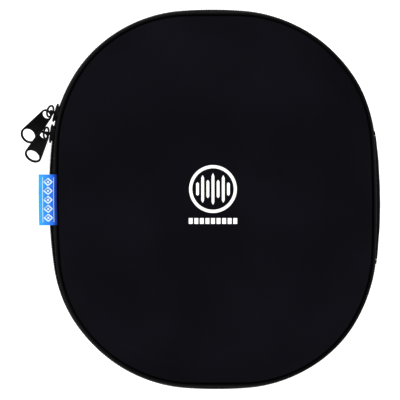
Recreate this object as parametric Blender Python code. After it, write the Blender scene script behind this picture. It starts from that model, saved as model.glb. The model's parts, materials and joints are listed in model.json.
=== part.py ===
"""Hard-shell zip case for over-ear headphones, lid up, as separate solids.

Metres, +Z up. The origin is the centre of the base's flat underside. +X is the
hinge side, -X the side where the two zip sliders meet, +Y the far end.
"""

import math

import bpy
import bmesh
from mathutils import Matrix, Vector

MM = 0.001

# Driving dimensions, in millimetres.
HALF_HEIGHT = 32.0          # each half, from the zip's middle plane to its flat or crown
SHELL_OVAL = dict(x=0.0, a=95.6, b=111.6, r_side=700.0, r_end=700.0, r_corner=80.6)
ZIP_OVAL = dict(x=-0.6, a=100.7, b=115.7, r_side=310.0, r_end=262.0, r_corner=86.6)

RIM_Z = 5.6                 # height of a shell's rim from the middle plane
WALL_TOP_Z = 20.0           # where the drafted wall turns into the shoulder
WALL_DRAFT = 1.1            # how far the wall leans in between those two
SHOULDER = 12.0             # reach of the shoulder curve across the shell
WALL = 4.0                  # foam shell with its laminated outer fabric
LID_CROWN = 1.2             # rise of the lid's top from its shoulder to its centre
LINING = 0.9
LINING_EDGE_Z = 9.6
GAP = 0.3                   # clearance kept between pieces that touch

PIPING_R = 1.1
PIPING_N = 1.45             # piping centre, outward from the shell's outline
PIPING_Z = 7.9
SEW_N = 0.35                # inner face of the strips sewn outside a shell's rim
SEW_LOW_Z = 5.2             # below this they leave the rim for the zip's line
TAPE = 0.7
TAPE_TOP_Z = 6.4
TAPE_BEND_Z = 4.5           # clear of the sliders' plates
COIL_DEPTH = 1.8
COIL_LOW_Z = 0.75
COIL_HIGH_Z = 3.3
COIL_CHAMFER = 0.5
BINDING_HIGH_Z = 9.2
BINDING_EDGE_N = -0.9       # the binding's outer edge, under the rim

HINGE_X = 100.9             # the lid turns about this line, on the middle plane
SPINE_HALF = 37.0           # half length of the fabric hinge
SPINE = 1.2
SPINE_PATH = ((4.2, -0.2), (2.2, 0.4), (0.15, 0.55))    # heights, and out from the zip's line
CHAIN_END = 40.3            # the zip's chain stops at this distance either side
STOP_FROM, STOP_TO = 37.5, 40.0
STOP_IN, STOP_OUT, STOP_BEVEL = 2.9, 0.35, 0.5

SLIDER_LENGTH = 11.4
SLIDER_HALF_HEIGHT = 4.0
SLIDER_CLEAR = 0.35         # slider plates to coil and tape
SLIDER_WAIST = 0.9          # how much lower the tail is than the nose, each side
PLATE = 1.15
WEB = 0.8
WEB_FROM, WEB_TO, WEB_POINT = 0.6, 4.8, 0.8
PLATE_OVERLAP = 0.3         # web and bail run this far into the plates
BAIL_WIDTH, BAIL_BAR = 1.8, 1.2
BAIL_SHOULDER = 1.0
TUNNEL_ROUND = 0.4
TUNNEL_N = 2.5              # axis of the ring in the slider's bail
TUNNEL_HALF_N, TUNNEL_HALF_Z = 1.0, 1.45
RING_R, WIRE_R = 3.45, 0.6

PULL_LENGTH = 20.0          # between the centres of a pull's two holes
PULL_THICK = 1.2
PULL_SMALL_R, PULL_SMALL_HOLE = 3.65, 2.5
PULL_BIG_R, PULL_BIG_HOLE = 5.3, 4.2
PULL_GRIP = 0.6             # from the ring's wire to the centre of the small hole
CUT_REACH = 2.0             # half height of the tools that cut its holes

# Where each slider stands, as an angle round the arc it rides, and how its pull lies.
SLIDERS = {
    "upper": dict(arc="corner", angle=163.3, nose=-1, ring_droop=56.0,
                  link=-44.0, heading=-133.7, droop=34.8),
    "lower": dict(arc="side", angle=172.3, nose=1, ring_droop=62.0,
                  link=-36.0, heading=-121.3, droop=47.0),
}

LABEL_FROM_Y, LABEL_TO_Y = -14.3, 15.8
LABEL = 1.2                 # both layers of the folded label
LABEL_FALL = ((0.5, 0.0), (2.2, 0.0), (4.4, 0.5), (8.2, 2.0), (11.9, 3.5))  # out, and down
LABEL_SPREAD = 0.1          # each point of the upper layer reaches this much further
POCKET_Z = 19.5             # mesh panel's level, up from the middle plane
POCKET = 1.0
POCKET_MOUTH_Y = 16.0
HEM_WIDTH, HEM = 6.0, 1.8
POCKET_CLEAR = 0.3          # net to lining, beyond the wall's draft
CROWN_RINGS = (0.68, 0.34)
SIDE_STEPS, CORNER_STEPS, END_STEPS = 4, 11, 2      # stations on each quarter's three arcs
MIN_STEP = 0.3              # degrees: a strip's end takes no station nearer than this

COLOURS = {
    "shell": ((0.007, 0.007, 0.009), 0.85, 0.0),
    "lining": ((0.020, 0.020, 0.023), 0.95, 0.0),
    "piping": ((0.006, 0.006, 0.007), 0.65, 0.0),
    "tape": ((0.008, 0.008, 0.009), 0.80, 0.0),
    "coil": ((0.010, 0.010, 0.011), 0.45, 0.0),
    "metal": ((0.016, 0.016, 0.017), 0.35, 1.0),
    "label": ((0.008, 0.120, 0.560), 0.60, 0.0),
    "mesh": ((0.012, 0.012, 0.013), 0.80, 0.0),
}


# ---- Outline -------------------------------------------------------------

def circles_meet(c0, r0, c1, r1):
    """The meeting point of two circles that is furthest from the origin."""
    apart = c1 - c0
    d = apart.length
    along = (r0 * r0 - r1 * r1 + d * d) / (2 * d)
    across = math.sqrt(r0 * r0 - along * along)
    middle = c0 + apart * (along / d)
    side = Vector((-apart.y, apart.x)) * (across / d)
    return max(middle + side, middle - side, key=lambda p: p.x + p.y)


class Oval:
    """A closed outline of eight tangent arcs, symmetrical about its centre at (x, 0)."""

    def __init__(self, x, a, b, r_side, r_end, r_corner):
        self.x, self.a, self.b = x, a, b
        self.r_side, self.r_end, self.r_corner = r_side, r_end, r_corner
        self.side = Vector((a - r_side, 0.0))
        self.end = Vector((0.0, b - r_end))
        self.corner = circles_meet(self.side, r_side - r_corner, self.end, r_end - r_corner)
        from_side, from_end = self.corner - self.side, self.corner - self.end
        self.side_angle = math.atan2(from_side.y, from_side.x)
        self.end_angle = math.atan2(from_end.y, from_end.x)

    def point(self, degrees):
        """The outline's point whose outward normal has this heading, and that normal."""
        heading = math.radians(degrees)
        normal = Vector((math.cos(heading), math.sin(heading)))
        first = math.atan2(abs(normal.y), abs(normal.x))
        if first <= self.side_angle:
            centre, radius = self.side, self.r_side
        elif first >= self.end_angle:
            centre, radius = self.end, self.r_end
        else:
            centre, radius = self.corner, self.r_corner
        sign_x, sign_y = math.copysign(1, normal.x), math.copysign(1, normal.y)
        return Vector((self.x + sign_x * centre.x, sign_y * centre.y)) + normal * radius, normal

    def distance(self, p):
        """How far a point lies outside the outline; negative inside."""
        q = Vector((abs(p.x - self.x), abs(p.y)))
        from_side, from_end = q - self.side, q - self.end
        if math.atan2(from_side.y, from_side.x) <= self.side_angle:
            return from_side.length - self.r_side
        if math.atan2(from_end.y, from_end.x) >= self.end_angle:
            return from_end.length - self.r_end
        return (q - self.corner).length - self.r_corner


SHELL_LINE = Oval(**SHELL_OVAL)
ZIP_LINE = Oval(**ZIP_OVAL)


def zip_offset(degrees):
    """How far the coil's outer face stands outside the shell's outline at a heading."""
    p, normal = SHELL_LINE.point(degrees)
    reach = 0.0
    for _ in range(6):
        reach -= ZIP_LINE.distance(p + normal * reach)
    return reach


def arc_steps(start, stop, count):
    return [start + (stop - start) * i / count for i in range(count)]


def loop_headings():
    """Headings round the whole outline: even steps on each side, corner and end."""
    side, end = math.degrees(SHELL_LINE.side_angle), math.degrees(SHELL_LINE.end_angle)
    quarter = arc_steps(0, side, SIDE_STEPS) + arc_steps(side, end, CORNER_STEPS) + arc_steps(end, 90, END_STEPS)
    mirrored = [180 - h for h in reversed(quarter[1:])]
    half = quarter + [90] + mirrored
    return half + [180 + h for h in half]


def headings_between(start, stop):
    """The loop's headings strictly inside a span, with the span's own ends added."""
    laps = [h + lap for lap in (-360, 0, 360) for h in loop_headings()]
    inside = [h for h in laps if start + MIN_STEP < h < stop - MIN_STEP]
    return [start] + inside + [stop]


def heading_at_y(y):
    """Heading of the shell outline's hinge side at a distance along it from the middle."""
    if abs(y) <= SHELL_LINE.r_side * math.sin(SHELL_LINE.side_angle):
        return math.degrees(math.asin(y / SHELL_LINE.r_side))
    past = (abs(y) - SHELL_LINE.corner.y) / SHELL_LINE.r_corner
    return math.copysign(math.degrees(math.asin(past)), y)


# ---- Profiles ------------------------------------------------------------
# A profile point is (base line, distance out from it, height from the middle plane).

def shell_at(n, z):
    return ("shell", n, z)


def zip_at(n, z):
    return ("zip", n, z)


def place(profile_point, degrees, half):
    """World position of a profile point; half is +1 on the lid and -1 on the base."""
    line, n, z = profile_point
    p, normal = SHELL_LINE.point(degrees)
    out = n + (zip_offset(degrees) if line == "zip" else 0.0)
    flat = p + normal * out
    return Vector((flat.x, flat.y, HALF_HEIGHT + half * z)) * MM


def ellipse_quarter(centre_n, centre_z, reach_n, reach_z, count):
    """Points of a shoulder, from its wall end to just before its top."""
    steps = [math.pi / 2 * i / count for i in range(count)]
    return [shell_at(centre_n + reach_n * math.cos(s), centre_z + reach_z * math.sin(s)) for s in steps]


def tray_side(inset, rim_z, top_z, shoulder_steps):
    """One face of a tray's wall, rim to flat, set in from the shell's outer face."""
    centre_n = -WALL_DRAFT - SHOULDER
    lean = WALL_DRAFT * (rim_z - RIM_Z) / (WALL_TOP_Z - RIM_Z)
    points = [shell_at(-inset - lean, rim_z)]
    points += ellipse_quarter(centre_n, WALL_TOP_Z, SHOULDER - inset, top_z - WALL_TOP_Z, shoulder_steps)
    points.append(shell_at(centre_n, top_z))
    return points


# ---- Mesh helpers --------------------------------------------------------

def material(kind):
    found = bpy.data.materials.get(kind)
    if found:
        return found
    colour, roughness, metallic = COLOURS[kind]
    made = bpy.data.materials.new(kind)
    made.use_nodes = True
    shader = made.node_tree.nodes["Principled BSDF"]
    shader.inputs["Base Color"].default_value = (*colour, 1.0)
    shader.inputs["Roughness"].default_value = roughness
    shader.inputs["Metallic"].default_value = metallic
    made.diffuse_color = (*colour, 1.0)
    return made


def make_object(name, bm, kind, smooth_angle=40):
    bmesh.ops.recalc_face_normals(bm, faces=bm.faces)
    mesh = bpy.data.meshes.new(name)
    bm.to_mesh(mesh)
    bm.free()
    mesh.shade_smooth()
    mesh.set_sharp_from_angle(angle=math.radians(smooth_angle))
    own = material(kind).copy()
    own.name = name
    mesh.materials.append(own)
    obj = bpy.data.objects.new(name, mesh)
    bpy.context.scene.collection.objects.link(obj)
    return obj


def add_ring(bm, points):
    return [bm.verts.new(p) for p in points]


def join_rings(bm, first, second, closed=True):
    count = len(first)
    for i in range(count if closed else count - 1):
        j = (i + 1) % count
        bm.faces.new((first[i], first[j], second[j], second[i]))


def sweep_loop(name, profile, half, kind):
    """Carries a closed profile right round the outline."""
    bm = bmesh.new()
    rings = [add_ring(bm, [place(p, h, half) for p in profile]) for h in loop_headings()]
    for i, ring in enumerate(rings):
        join_rings(bm, ring, rings[(i + 1) % len(rings)])
    return make_object(name, bm, kind)


def sweep_strip(name, profile, half, start, stop, kind):
    """Carries a closed profile along part of the outline and caps both ends."""
    bm = bmesh.new()
    rings = [add_ring(bm, [place(p, h, half) for p in profile]) for h in headings_between(start, stop)]
    for first, second in zip(rings, rings[1:]):
        join_rings(bm, first, second)
    bm.faces.new(rings[0])
    bm.faces.new(rings[-1])
    return make_object(name, bm, kind)


def close_tray(bm, rim, half, crown):
    """Closes a tray's flat, with shrinking rings up to a centre point if it is crowned."""
    if crown == 0:
        bm.faces.new(rim)
        return
    outer = rim
    for scale in CROWN_RINGS:
        rise = crown * (1 - scale * scale) * half * MM
        inner = add_ring(bm, [(v.co.x * scale, v.co.y * scale, v.co.z + rise) for v in rim])
        join_rings(bm, outer, inner)
        outer = inner
    centre = bm.verts.new((0, 0, rim[0].co.z + crown * half * MM))
    for i, v in enumerate(outer):
        bm.faces.new((v, outer[(i + 1) % len(outer)], centre))


def make_tray(name, outer, inner, half, crown, kind):
    """A closed-bottomed oval tray between an outer and an inner face."""
    bm = bmesh.new()
    loops = []
    for side in (outer, inner):
        rings = [add_ring(bm, [place(p, h, half) for h in loop_headings()]) for p in side]
        for first, second in zip(rings, rings[1:]):
            join_rings(bm, first, second)
        close_tray(bm, rings[-1], half, crown)
        loops.append(rings[0])
    join_rings(bm, loops[0], loops[1])
    return make_object(name, bm, kind)


def prism(bm, outline, low, high):
    """Extrudes a closed outline of (x, y) points between two heights."""
    bottom = add_ring(bm, [(x, y, low) for x, y in outline])
    top = add_ring(bm, [(x, y, high) for x, y in outline])
    join_rings(bm, bottom, top)
    bm.faces.new(bottom)
    bm.faces.new(top)


def combine(target, tools, operation):
    """Joins solids to a target, or cuts them out of it, with exact booleans."""
    for tool in tools:
        modifier = target.modifiers.new(tool.name, "BOOLEAN")
        modifier.operation = operation
        modifier.solver = "EXACT"
        modifier.object = tool
        tool.hide_render = True
        tool.display_type = "WIRE"
        tool.parent = target
    return target


def keep_in_place(child, parent):
    """Parents an object without moving it."""
    bpy.context.view_layer.update()
    child.parent = parent
    child.matrix_parent_inverse = parent.matrix_world.inverted()


def add_empty(name, location):
    empty = bpy.data.objects.new(name, None)
    empty.location = location
    empty.empty_display_size = 0.01
    bpy.context.scene.collection.objects.link(empty)
    return empty


# ---- Soft shell halves ---------------------------------------------------

def make_shell(name, half, crown):
    top = HALF_HEIGHT - crown
    outer = tray_side(0.0, RIM_Z, top, 4)
    inner = tray_side(WALL, RIM_Z, top - WALL, 3)
    return make_tray(name, outer, inner, half, crown, "shell")


def make_lining(name, half, crown):
    top = HALF_HEIGHT - crown - WALL - GAP
    outer = tray_side(WALL + GAP, LINING_EDGE_Z, top, 3)
    inner = tray_side(WALL + GAP + LINING, LINING_EDGE_Z, top - LINING, 3)
    return make_tray(name, outer, inner, half, crown, "lining")


def make_piping(name, half):
    turns = [2 * math.pi * i / 8 for i in range(8)]
    profile = [
        shell_at(PIPING_N + PIPING_R * math.cos(t), PIPING_Z + PIPING_R * math.sin(t))
        for t in turns
    ]
    return sweep_loop(name, profile, half, "piping")


def make_binding(name, half):
    """The tape that covers the sewn edge inside the rim, an L in section."""
    low = RIM_Z - GAP - TAPE
    inside = -WALL - GAP
    profile = [
        shell_at(BINDING_EDGE_N, RIM_Z - GAP), shell_at(BINDING_EDGE_N, low),
        shell_at(inside - TAPE, low), shell_at(inside - TAPE, BINDING_HIGH_Z),
        shell_at(inside, BINDING_HIGH_Z), shell_at(inside, RIM_Z - GAP),
    ]
    return sweep_loop(name, profile, half, "tape")


# ---- Zip -----------------------------------------------------------------

def make_tape(name, half):
    """The zip's tape, from the seam at the rim down behind the coil."""
    face = -COIL_DEPTH - GAP
    profile = [
        shell_at(SEW_N + TAPE, TAPE_TOP_Z), shell_at(SEW_N + TAPE, SEW_LOW_Z + 0.2),
        zip_at(face, TAPE_BEND_Z), zip_at(face, COIL_LOW_Z),
        zip_at(face - TAPE, COIL_LOW_Z), zip_at(face - TAPE, TAPE_BEND_Z - 0.2),
        shell_at(SEW_N, SEW_LOW_Z), shell_at(SEW_N, TAPE_TOP_Z),
    ]
    end = heading_at_y(CHAIN_END)
    return sweep_strip(name, profile, half, end, 360 - end, "tape")


def make_coil(name, half):
    """Half of the zip's chain, a band with its outer edges chamfered."""
    low, high = COIL_LOW_Z, COIL_HIGH_Z
    profile = [
        zip_at(-COIL_DEPTH, low), zip_at(-COIL_CHAMFER, low), zip_at(0.0, low + COIL_CHAMFER),
        zip_at(0.0, high - COIL_CHAMFER), zip_at(-COIL_CHAMFER, high), zip_at(-COIL_DEPTH, high),
    ]
    end = heading_at_y(CHAIN_END)
    return sweep_strip(name, profile, half, end, 360 - end, "coil")


def make_spine(name, half):
    """Half of the fabric hinge: from the seam out to the line it folds on."""
    outer = [zip_at(n, z) for z, n in SPINE_PATH]
    inner = [zip_at(n - SPINE, z) for z, n in reversed(SPINE_PATH)]
    profile = [shell_at(SEW_N + SPINE, TAPE_TOP_Z), *outer, *inner,
               shell_at(SEW_N, SEW_LOW_Z), shell_at(SEW_N, TAPE_TOP_Z)]
    end = heading_at_y(SPINE_HALF)
    return sweep_strip(name, profile, half, -end, end, "tape")


def make_stop(name, side):
    """A metal stop pinched over the chain's end, on the base."""
    low, high = sorted(side * heading_at_y(y) for y in (STOP_FROM, STOP_TO))
    top, bevel = COIL_HIGH_Z, STOP_BEVEL
    profile = [
        zip_at(-STOP_IN, top), zip_at(STOP_OUT - bevel / 2, top), zip_at(STOP_OUT, top - bevel),
        zip_at(STOP_OUT, bevel - top), zip_at(STOP_OUT - bevel / 2, -top), zip_at(-STOP_IN, -top),
    ]
    return sweep_strip(name, profile, -1, low, high, "metal")


# ---- Sliders and pulls ---------------------------------------------------
# A slider's own axes: +X along its travel, +Y out of the case, +Z up.

def mirrored(upper, nose_side):
    """A closed outline from its upper half, tail to nose, turned to face its nose."""
    outline = upper + [(x, -z) for x, z in reversed(upper) if z > 0]
    return [(x * nose_side, z) for x, z in outline]


def slider_plate_outline(nose_side):
    """Plate wide at the nose, where the teeth part, and narrow at the tail."""
    nose, wide = SLIDER_LENGTH / 2, SLIDER_HALF_HEIGHT
    narrow = wide - SLIDER_WAIST
    upper = [
        (-nose, 0.0), (0.4 - nose, narrow - 0.8), (1.3 - nose, narrow), (nose - 4.7, narrow),
        (nose - 3.1, wide), (nose - 1.0, wide), (nose - 0.2, wide - 1.0), (nose, 0.0),
    ]
    return mirrored(upper, nose_side)


def prism_object(name, outline, low, high, rotation=None):
    bm = bmesh.new()
    prism(bm, [(x * MM, y * MM) for x, y in outline], low * MM, high * MM)
    if rotation:
        bm.transform(rotation)
    return make_object(name, bm, "metal")


def rectangle(x0, x1, y0, y1):
    return [(x0, y0), (x1, y0), (x1, y1), (x0, y1)]


def bail_section(foot):
    """The bail seen along the zip: a strap from the plate over the ring's tunnel."""
    low, high = TUNNEL_N - TUNNEL_HALF_N, TUNNEL_N + TUNNEL_HALF_N
    wide = TUNNEL_HALF_Z
    leg = wide + BAIL_BAR
    inner = [(foot, wide), (high - TUNNEL_ROUND, wide), (high, wide - TUNNEL_ROUND)]
    outer = [(foot, leg), (low + BAIL_SHOULDER, leg), (high + BAIL_BAR, leg - BAIL_SHOULDER)]
    lower_inner = [(n, -z) for n, z in inner]
    lower_outer = [(n, -z) for n, z in reversed(outer)]
    return lower_inner + inner[::-1] + outer + lower_outer


def make_slider(name, nose_side):
    """Two plates, the web that parts the teeth, and the bail that holds the ring."""
    outer_face = SLIDER_CLEAR + PLATE
    inner_top = -COIL_DEPTH - GAP - TAPE - SLIDER_CLEAR
    to_plate = Matrix.Rotation(math.radians(90), 4, "X")
    outline = slider_plate_outline(nose_side)
    body = prism_object(name, outline, -outer_face, -SLIDER_CLEAR, to_plate)
    back = prism_object(name + "_back", outline, -inner_top, PLATE - inner_top, to_plate)
    web_upper = [
        (WEB_FROM, 0.0), (WEB_FROM + WEB_POINT, WEB / 2),
        (WEB_TO - WEB_POINT, WEB / 2), (WEB_TO, 0.0),
    ]
    web = prism_object(name + "_web", mirrored(web_upper, nose_side),
                       -SLIDER_CLEAR - PLATE_OVERLAP, PLATE_OVERLAP - inner_top, to_plate)
    to_bail = Matrix(((0, 0, 1, 0), (1, 0, 0, 0), (0, 1, 0, 0), (0, 0, 0, 1)))
    arch = bail_section(outer_face - PLATE_OVERLAP)
    bail = prism_object(name + "_bail", arch, -BAIL_WIDTH / 2, BAIL_WIDTH / 2, to_bail)
    return combine(body, [back, web, bail], "UNION")


def slider_frame(spec):
    """World matrix of a slider's own axes, and the centre of the arc it rides."""
    if spec["arc"] == "corner":
        centre = Vector((ZIP_LINE.x - ZIP_LINE.corner.x, ZIP_LINE.corner.y))
        radius = ZIP_LINE.r_corner
    else:
        centre = Vector((ZIP_LINE.x - ZIP_LINE.side.x, 0.0))
        radius = ZIP_LINE.r_side
    heading = math.radians(spec["angle"])
    out = Vector((math.cos(heading), math.sin(heading)))
    spot = centre + out * radius
    turn = Matrix.Rotation(heading - math.pi / 2, 4, "Z")
    pivot = Vector((centre.x, centre.y, HALF_HEIGHT)) * MM
    return Matrix.Translation(Vector((spot.x, spot.y, HALF_HEIGHT)) * MM) @ turn, pivot


def ring_frame(frame, droop):
    """Axes at the bail: +X along the wire there, +Y from the bail to the ring's far side."""
    at_bail = Matrix.Translation((0, TUNNEL_N * MM, 0))
    return frame @ at_bail @ Matrix.Rotation(math.radians(-droop), 4, "X")


def make_ring(name):
    """A round wire ring whose wire crosses the object's origin along X."""
    bm = bmesh.new()
    around, section = 24, 8
    rings = []
    for i in range(around):
        a = 2 * math.pi * i / around
        out = Vector((math.sin(a), -math.cos(a), 0))
        points = []
        for k in range(section):
            s = 2 * math.pi * k / section
            points.append((Vector((0, RING_R, 0)) + out * (RING_R + WIRE_R * math.cos(s))
                           + Vector((0, 0, WIRE_R * math.sin(s)))) * MM)
        rings.append(add_ring(bm, points))
    for i, ring in enumerate(rings):
        join_rings(bm, ring, rings[(i + 1) % around])
    return make_object(name, bm, "metal", 60)


def link_point(degrees):
    """Point of the ring's wire at an angle from the ring's far side."""
    a = math.radians(degrees)
    return Vector((RING_R * math.sin(a), RING_R * (1 + math.cos(a)), 0)) * MM


def taper_outline(length, r0, r1, steps):
    """Two round ends of different radius joined by their common tangents."""
    lean = math.acos((r0 - r1) / length)
    points = []
    for i in range(steps + 1):
        a = lean + (2 * math.pi - 2 * lean) * i / steps
        points.append((r0 * math.cos(a), r0 * math.sin(a)))
    for i in range(steps + 1):
        a = -lean + 2 * lean * i / steps
        points.append((length + r1 * math.cos(a), r1 * math.sin(a)))
    return points


def circle(centre_x, radius, steps):
    turns = [2 * math.pi * i / steps for i in range(steps)]
    return [(centre_x + radius * math.cos(t), radius * math.sin(t)) for t in turns]


def make_pull(name):
    """A flat tapered pull; its origin is on the ring's wire and +X runs to its free end."""
    half = PULL_THICK / 2
    outline = taper_outline(PULL_LENGTH, PULL_SMALL_R, PULL_BIG_R, 12)
    body = prism_object(name, [(x + PULL_GRIP, y) for x, y in outline], -half, half)
    eye = circle(PULL_GRIP, PULL_SMALL_HOLE, 16)
    hole = circle(PULL_GRIP + PULL_LENGTH, PULL_BIG_HOLE, 20)
    small = prism_object(name + "_eye", eye, -CUT_REACH, CUT_REACH)
    big = prism_object(name + "_hole", hole, -CUT_REACH, CUT_REACH)
    return combine(body, [small, big], "DIFFERENCE")


def make_slider_set(side, spec):
    """Slider, ring and pull, each with its origin or its parent empty on its joint."""
    frame, pivot = slider_frame(spec)
    track = add_empty(side + "_track", pivot)
    slider = make_slider(side + "_slider", spec["nose"])
    slider.matrix_world = frame
    keep_in_place(slider, track)
    ring = make_ring(side + "_pull_ring")
    at_ring = ring_frame(frame, spec["ring_droop"])
    ring.matrix_world = at_ring
    keep_in_place(ring, slider)
    pull = make_pull(side + "_pull")
    pull.location = at_ring @ link_point(spec["link"])
    pull.rotation_euler = (0, math.radians(spec["droop"]), math.radians(spec["heading"]))
    keep_in_place(pull, ring)


# ---- Label and pocket ----------------------------------------------------

def make_label():
    """A folded woven label, sewn in above the lid's piping and hanging out over it."""
    over = PIPING_Z + PIPING_R + GAP
    path = [(n, over - fall) for n, fall in LABEL_FALL]
    low = [shell_at(n, z) for n, z in path]
    high = [shell_at(n + LABEL_SPREAD * i, z + LABEL) for i, (n, z) in enumerate(path)]
    start, stop = 180 - heading_at_y(LABEL_TO_Y), 180 - heading_at_y(LABEL_FROM_Y)
    return sweep_strip("side_label", low + high[::-1], 1, start, stop, "label")


def pocket_outline(inset, mouth_y):
    """The lid's inner outline below the pocket's mouth, closed by a straight mouth."""
    points = []
    for h in headings_between(180, 360):
        p, normal = SHELL_LINE.point(h)
        points.append(p - normal * inset)
    left = min(points, key=lambda p: p.x)
    corner_left, corner_right = (left.x, mouth_y), (-left.x, mouth_y)
    return [corner_left] + [(p.x, p.y) for p in points] + [corner_right]


def make_pocket():
    """A net panel across the lid below its ceiling, and the elastic hem at its mouth."""
    inset = WALL + GAP + LINING + GAP + WALL_DRAFT + POCKET_CLEAR
    level = HALF_HEIGHT + POCKET_Z
    net_top = POCKET_MOUTH_Y - HEM_WIDTH - GAP
    bm = bmesh.new()
    outline = [(x * MM, y * MM) for x, y in pocket_outline(inset, net_top)]
    prism(bm, outline, level * MM, (level + POCKET) * MM)
    net = make_object("pocket_net", bm, "mesh")
    reach = SHELL_LINE.a - inset - POCKET_CLEAR
    band = rectangle(-reach, reach, POCKET_MOUTH_Y - HEM_WIDTH, POCKET_MOUTH_Y)
    middle = level + POCKET / 2
    bm = bmesh.new()
    prism(bm, [(x * MM, y * MM) for x, y in band], (middle - HEM / 2) * MM, (middle + HEM / 2) * MM)
    hem = make_object("pocket_hem", bm, "tape")
    return [net, hem]


# ---- Assembly ------------------------------------------------------------

def build_case():
    for obj in list(bpy.data.objects):
        bpy.data.objects.remove(obj, do_unlink=True)
    make_shell("base_shell", -1, 0.0)
    make_lining("base_lining", -1, 0.0)
    make_piping("base_piping", -1)
    make_binding("base_seam_binding", -1)
    make_tape("base_zip_tape", -1)
    make_coil("base_zip_coil", -1)
    make_spine("hinge_spine_base", -1)
    make_stop("zip_stop_far", 1)
    make_stop("zip_stop_near", -1)
    lid = [
        make_shell("lid_shell", 1, LID_CROWN),
        make_lining("lid_lining", 1, LID_CROWN),
        make_piping("lid_piping", 1),
        make_binding("lid_seam_binding", 1),
        make_tape("lid_zip_tape", 1),
        make_coil("lid_zip_coil", 1),
        make_spine("hinge_spine_lid", 1),
        make_label(),
    ]
    lid += make_pocket()
    hinge = add_empty("lid_hinge", Vector((HINGE_X, 0, HALF_HEIGHT)) * MM)
    for piece in lid:
        keep_in_place(piece, hinge)
    for side, spec in SLIDERS.items():
        make_slider_set(side, spec)


build_case()
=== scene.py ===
"""Looks of a hard-shell zip case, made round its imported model.

Metres, +Z up, in the model's frame: lid up, fabric hinge at +X, zip sliders and
side label at -X. Sizes below are millimetres, measured from the zip's middle plane.
"""

import json
import math

import bmesh
import bpy
import numpy as np
from mathutils import Matrix, Vector, noise
from mathutils.bvhtree import BVHTree


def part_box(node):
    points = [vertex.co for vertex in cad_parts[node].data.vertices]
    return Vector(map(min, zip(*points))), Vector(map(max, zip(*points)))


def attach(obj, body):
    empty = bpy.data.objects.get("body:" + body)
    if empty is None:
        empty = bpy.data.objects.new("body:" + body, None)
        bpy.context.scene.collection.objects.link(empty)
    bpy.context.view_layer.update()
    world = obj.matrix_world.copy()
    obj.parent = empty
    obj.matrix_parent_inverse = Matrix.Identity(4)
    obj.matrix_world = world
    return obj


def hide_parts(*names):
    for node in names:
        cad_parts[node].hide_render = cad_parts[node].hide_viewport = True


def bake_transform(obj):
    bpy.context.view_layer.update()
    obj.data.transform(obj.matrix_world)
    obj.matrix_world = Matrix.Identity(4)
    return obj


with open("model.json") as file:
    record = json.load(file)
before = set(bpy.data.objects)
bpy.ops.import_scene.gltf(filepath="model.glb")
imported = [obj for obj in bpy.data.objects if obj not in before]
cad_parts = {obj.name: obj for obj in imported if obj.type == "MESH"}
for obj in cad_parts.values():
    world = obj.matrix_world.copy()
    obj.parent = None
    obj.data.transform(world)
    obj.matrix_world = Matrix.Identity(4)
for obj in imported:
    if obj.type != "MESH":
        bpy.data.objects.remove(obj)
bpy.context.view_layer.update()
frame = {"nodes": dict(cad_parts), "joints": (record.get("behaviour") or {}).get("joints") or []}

MM = 0.001
SHELL_NODES = {"lid": "lid_shell", "base": "base_shell"}
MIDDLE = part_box("lid_shell")[1].z / 2 / MM      # height of the zip's middle plane

SHELL_OVAL = dict(x=0.0, a=95.6, b=111.6, r_side=700.0, r_end=700.0, r_corner=80.6)
ZIP_OVAL = dict(x=-0.6, a=100.7, b=115.7, r_side=310.0, r_end=262.0, r_corner=86.6)
RIM_Z, WALL_TOP_Z, WALL_DRAFT, SHOULDER, WALL = 5.6, 20.0, 1.1, 12.0, 4.0
CROWN = {"lid": 1.2, "base": 0.0}
HALF = {"lid": 1.0, "base": -1.0}
LINING, LINING_EDGE_Z, GAP = 0.9, 9.6, 0.3
PIPING_R, PIPING_N, PIPING_Z = 1.1, 1.45, 7.9
TAPE, TAPE_TOP_Z = 0.7, 6.4
COIL_DEPTH = 1.8
TOOTH_PITCH = 1.5
SPINE, SPINE_HALF, TAPE_END = 1.2, 37.3, 37.5
STITCH_PITCH = 3.3
TUNNEL_N, PULL_EYE_R = 2.5, 3.65
SETTLE = {"upper": 0.0, "lower": 0.5}    # how far a slider and its ring stand towards the label
NET_Z, NET_CELL, NET_STRAND = 20.0, 2.6, 0.78

SKEW, SKEW_FROM, SKEW_TO = 0.0103, 60.0, 90.0    # the soft shell leans off square at its ends
VIEW_TURN = math.radians(-0.61)                 # the case lies slightly turned in the view


# ---- Outline -------------------------------------------------------------

def circles_meet(c0, r0, c1, r1):
    """The meeting point of two circles that is furthest from the origin."""
    apart = c1 - c0
    d = np.linalg.norm(apart)
    along = (r0 * r0 - r1 * r1 + d * d) / (2 * d)
    across = math.sqrt(r0 * r0 - along * along)
    middle = c0 + apart * (along / d)
    side = np.array([-apart[1], apart[0]]) * (across / d)
    return max(middle + side, middle - side, key=lambda p: p[0] + p[1])


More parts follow.
